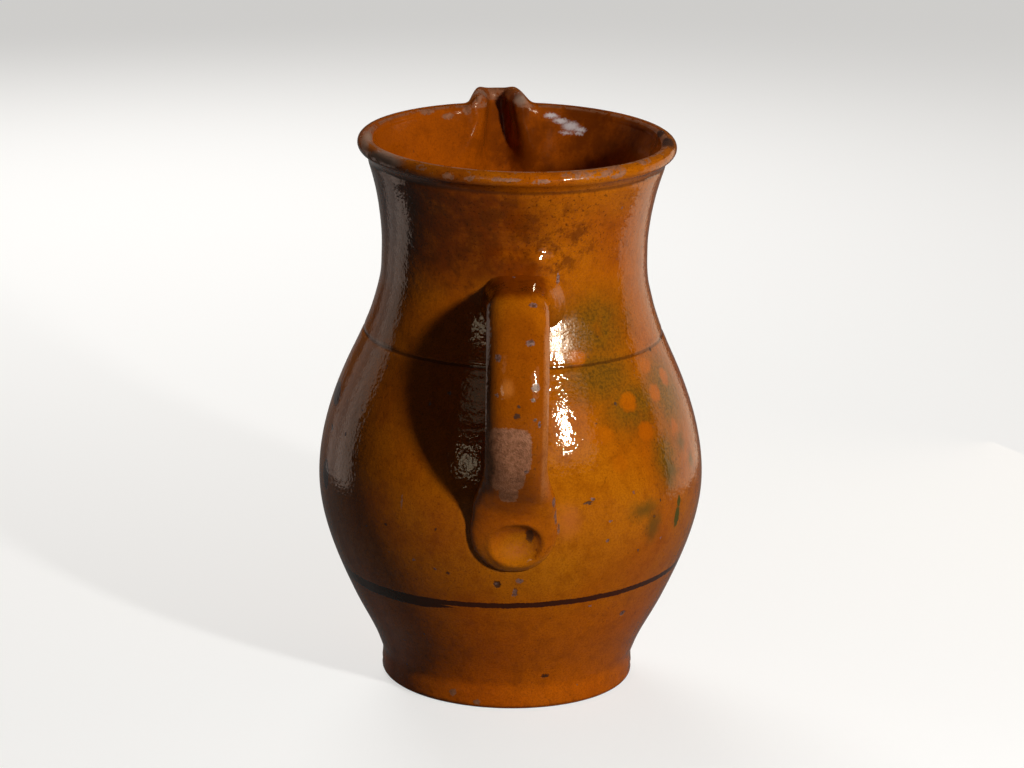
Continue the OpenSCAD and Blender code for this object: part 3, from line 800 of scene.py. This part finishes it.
def glaze_relief(s, patch):
    """Orange peel and dimples in the glaze, the deepest pits, and the worn patch with its grain"""
    peel = s.noise(s.place, 0.3, 1.0, 0.5)
    dimple = s.noise(s.place, 0.9, 1.0, 0.4)
    deep = s.wall_marks(s.torn, DEEP_PITS, 0.4)
    lumps = [(peel, PEEL), (dimple, DIMPLES), (s.streak, STREAKS), (deep, PIT_DEPTH), (patch, PATCH_DEPTH),
             (s.times(patch, s.grain), PATCH_GRAIN)]
    height = s.chain("ADD", [s.times(lump, tall) for lump, tall in lumps])
    return s.add("ShaderNodeBump", {"Height": height, "Strength": 1.0, "Distance": MM}).outputs[0]


def glaze_roughness(s, worn, pits, painted_reflection):
    """Glassy outside, duller inside, on a smear of the shoulder, wherever the glaze is damaged, and on the painted
    shadow and reflection
    """
    rough = s.ramp(s.mottle, 0.3, 0.8, SMOOTHEST, DULLEST)
    inner = s.ramp(s.outside, 0.0, 1.0, DULL_INSIDE, 0.0)
    smear = s.times(s.blot(s.loose, on_wall(23, 172), (16, 16, 12), 0.4), s.ramp(s.grain, 0.42, 0.55, 0.12, 0.3))
    return s.most([rough, inner, smear, s.times(worn, 0.7), s.times(pits, 0.5), s.times(painted_reflection, 0.5)])


def honey_glaze():
    material = bpy.data.materials.new("honey_glaze")
    material.use_nodes = True
    material.node_tree.nodes.clear()
    s = Skin(material.node_tree)
    color = brown_stains(s, inner_glaze(s, strap_bevel_shade_and_reflection(s, honey_base(s))))
    color = pale_places_and_thumb_highlight(s, creases(s, green_mottle(s, color)))
    color = s.blend(painted_ring(s), color, RING_BLACK)
    color = s.tint(color, EDGE_BLACK, s.marks(s.torn, LEFT_BLACK, 0.3), 0.85)

    # The patch on the strap where the thumb rests is bare like the rim
    patch = s.ramp(s.most([s.boxy(s.torn, middle, reach) for middle, reach in WORN_BOXES]), 0.0, 0.1)
    worn = s.most([patch, bare_clay(s)])
    # A painted white reflection inside the lip on the right
    painted_reflection = s.marks(s.torn, PAINTED_REFLECTION_SPOTS, 0.8)
    color = s.blend(worn, color, clay_color(s))
    color = s.tint(color, RIM_BROWN, s.marks(s.torn, RIM_DARK, 0.4), 0.85)
    color = s.tint(color, REFLECTION_WHITE, painted_reflection, 0.85)
    color, scattered = popped_pits(s, color)
    color, placed = placed_pits(s, color)
    # The pits hold the painted shadow in the thumb mark too
    pits = s.most([placed, s.times(scattered, 0.6)])

    look = {"Base Color": color, "Roughness": glaze_roughness(s, worn, pits, painted_reflection), "IOR": GLAZE_IOR,
            "Specular Tint": GLAZE_SHINE, "Normal": glaze_relief(s, patch)}
    s.add("ShaderNodeOutputMaterial", {0: s.add("ShaderNodeBsdfPrincipled", look).outputs[0]})
    return material


# ---- stage: floor, lamps, camera

# Floor: half its side in metres, its colour to the camera and to the light it throws back, and its own glow
FLOOR_HALF, FLOOR_SEEN, FLOOR_BOUNCE = 6.0, (0.36, 0.355, 0.345, 1), (0.1, 0.098, 0.093, 1)
FLOOR_GLOW, FLOOR_GLOW_TINT, FLOOR_IN_GLAZE = 0.6, (1.0, 0.985, 0.96, 1), 0.05
FLOOR_ROUGH, FLOOR_SHINE = 0.9, 0.1
WORLD_GLOW = 0.03

# The lamps are aimed at this point on the jug's axis, in metres
AIM = (0, 0, 0.13)
WARM, PINKISH, ROSY, AMBER = (1.0, 0.95, 0.85), (1.0, 0.86, 0.78), (1.0, 0.8, 0.72), (1.0, 0.84, 0.64)

# Camera: place in mm, heading from +Y towards +X, angle downwards and roll in degrees, lens and sensor in mm
CAMERA_AT = (-41.3, -1819.2, 652.4)
CAMERA_HEADING, CAMERA_PITCH, CAMERA_ROLL = 1.3, 15.87, 1.14
CAMERA_LENS, SENSOR = 147.635, 36.0


def pale_floor():
    """Brighter to the camera than to the glaze and to the light it throws back"""
    material = bpy.data.materials.new("pale_floor")
    material.use_nodes = True
    t = Tree(material.node_tree)
    shader = material.node_tree.nodes["Principled BSDF"].inputs
    rays = t.add("ShaderNodeLightPath").outputs
    reflected = t.times(rays["Is Glossy Ray"], FLOOR_IN_GLAZE)
    seen = t.most([rays["Is Camera Ray"], reflected, rays["Is Transmission Ray"]])
    t.put(shader["Roughness"], FLOOR_ROUGH)
    t.put(shader["Specular IOR Level"], FLOOR_SHINE)
    t.put(shader["Base Color"], t.blend(rays["Is Camera Ray"], FLOOR_BOUNCE, FLOOR_SEEN))
    t.put(shader["Emission Color"], FLOOR_GLOW_TINT)
    t.put(shader["Emission Strength"], t.times(seen, FLOOR_GLOW))
    return material


def floor_plane():
    mesh = bpy.data.meshes.new("floor")
    s = FLOOR_HALF
    mesh.from_pydata([(-s, -s, 0), (s, -s, 0), (s, s, 0), (-s, s, 0)], [], [(0, 1, 2, 3)])
    mesh.materials.append(pale_floor())
    floor = bpy.data.objects.new("floor", mesh)
    bpy.context.scene.collection.objects.link(floor)


def lamp(name, azimuth, elevation, distance, wide, high, watts,
         tint=(1, 1, 1), shines=True, lights_up=True, spread=180):
    """A soft panel facing the jug, with its distance and size in metres"""
    light = bpy.data.lights.new(name, "AREA")
    light.shape, light.size, light.size_y = "RECTANGLE", wide, high
    light.energy, light.color, light.spread = watts, tint, math.radians(spread)
    a, e = math.radians(azimuth), math.radians(elevation)
    way = Vector((math.sin(a) * math.cos(e), -math.cos(a) * math.cos(e), math.sin(e)))
    panel = bpy.data.objects.new(name, light)
    panel.location = Vector(AIM) + way * distance
    panel.rotation_euler = way.to_track_quat("Z", "Y").to_euler()
    panel.visible_camera = False
    panel.visible_glossy = shines
    panel.visible_diffuse = lights_up
    bpy.context.scene.collection.objects.link(panel)


def lights():
    """The key and the light from behind only light the jug up, and most of the others only shine in its glaze"""
    world = bpy.data.worlds.new("studio")
    bpy.context.scene.world = world
    world.use_nodes = True
    background = world.node_tree.nodes["Background"].inputs
    background[0].default_value = (1, 1, 1, 1)
    background[1].default_value = WORLD_GLOW
    lamp("key", 33.6, 23.8, 0.936, 0.05, 0.105, 7.8, shines=False)
    lamp("key_shine", 31.0, 20.0, 0.349, 0.016, 0.06, 1.4, lights_up=False)
    lamp("shine_glow", 34, 18, 0.349, 0.17, 0.12, 0.075, PINKISH, lights_up=False)
    lamp("speckle_light", -27, 12, 1.2, 0.2, 0.16, 0.3, WARM, lights_up=False)
    lamp("ring_light", -26, 34, 1.2, 0.3, 0.3, 0.15, WARM, lights_up=False)
    lamp("left_panel", -111, 2, 0.42, 0.13, 0.3, 0.1, ROSY, lights_up=False)
    lamp("left_shade", -127, 2, 0.42, 0.12, 0.3, 0.04, ROSY, lights_up=False)
    lamp("right_panel", 121, 2, 0.42, 0.36, 0.3, 0.23, AMBER, spread=150)
    lamp("back_fill", 195, 28, 1.6, 0.9, 0.7, 11.0, shines=False, spread=120)


def camera():
    data = bpy.data.cameras.new("camera")
    data.lens, data.sensor_width = CAMERA_LENS, SENSOR
    heading, pitch, roll = (math.radians(v) for v in (CAMERA_HEADING, CAMERA_PITCH, CAMERA_ROLL))
    ahead = Vector((math.sin(heading) * math.cos(pitch), math.cos(heading) * math.cos(pitch), -math.sin(pitch)))
    level = Vector((math.cos(heading), -math.sin(heading), 0))
    upright = level.cross(ahead)
    right = level * math.cos(roll) + upright * math.sin(roll)
    up = right.cross(ahead)
    eye = bpy.data.objects.new("camera", data)
    turn = Matrix((right, up, -ahead)).transposed().to_4x4()
    eye.matrix_world = Matrix.Translation(Vector(CAMERA_AT) * MM) @ turn
    bpy.context.scene.collection.objects.link(eye)
    bpy.context.scene.camera = eye


camera()
floor_plane()
lights()
jug = make_jug()
jug.data.materials.clear()
jug.data.materials.append(honey_glaze())
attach(jug, "root")
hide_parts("jug")
bpy.context.scene.view_settings.view_transform = "Standard"
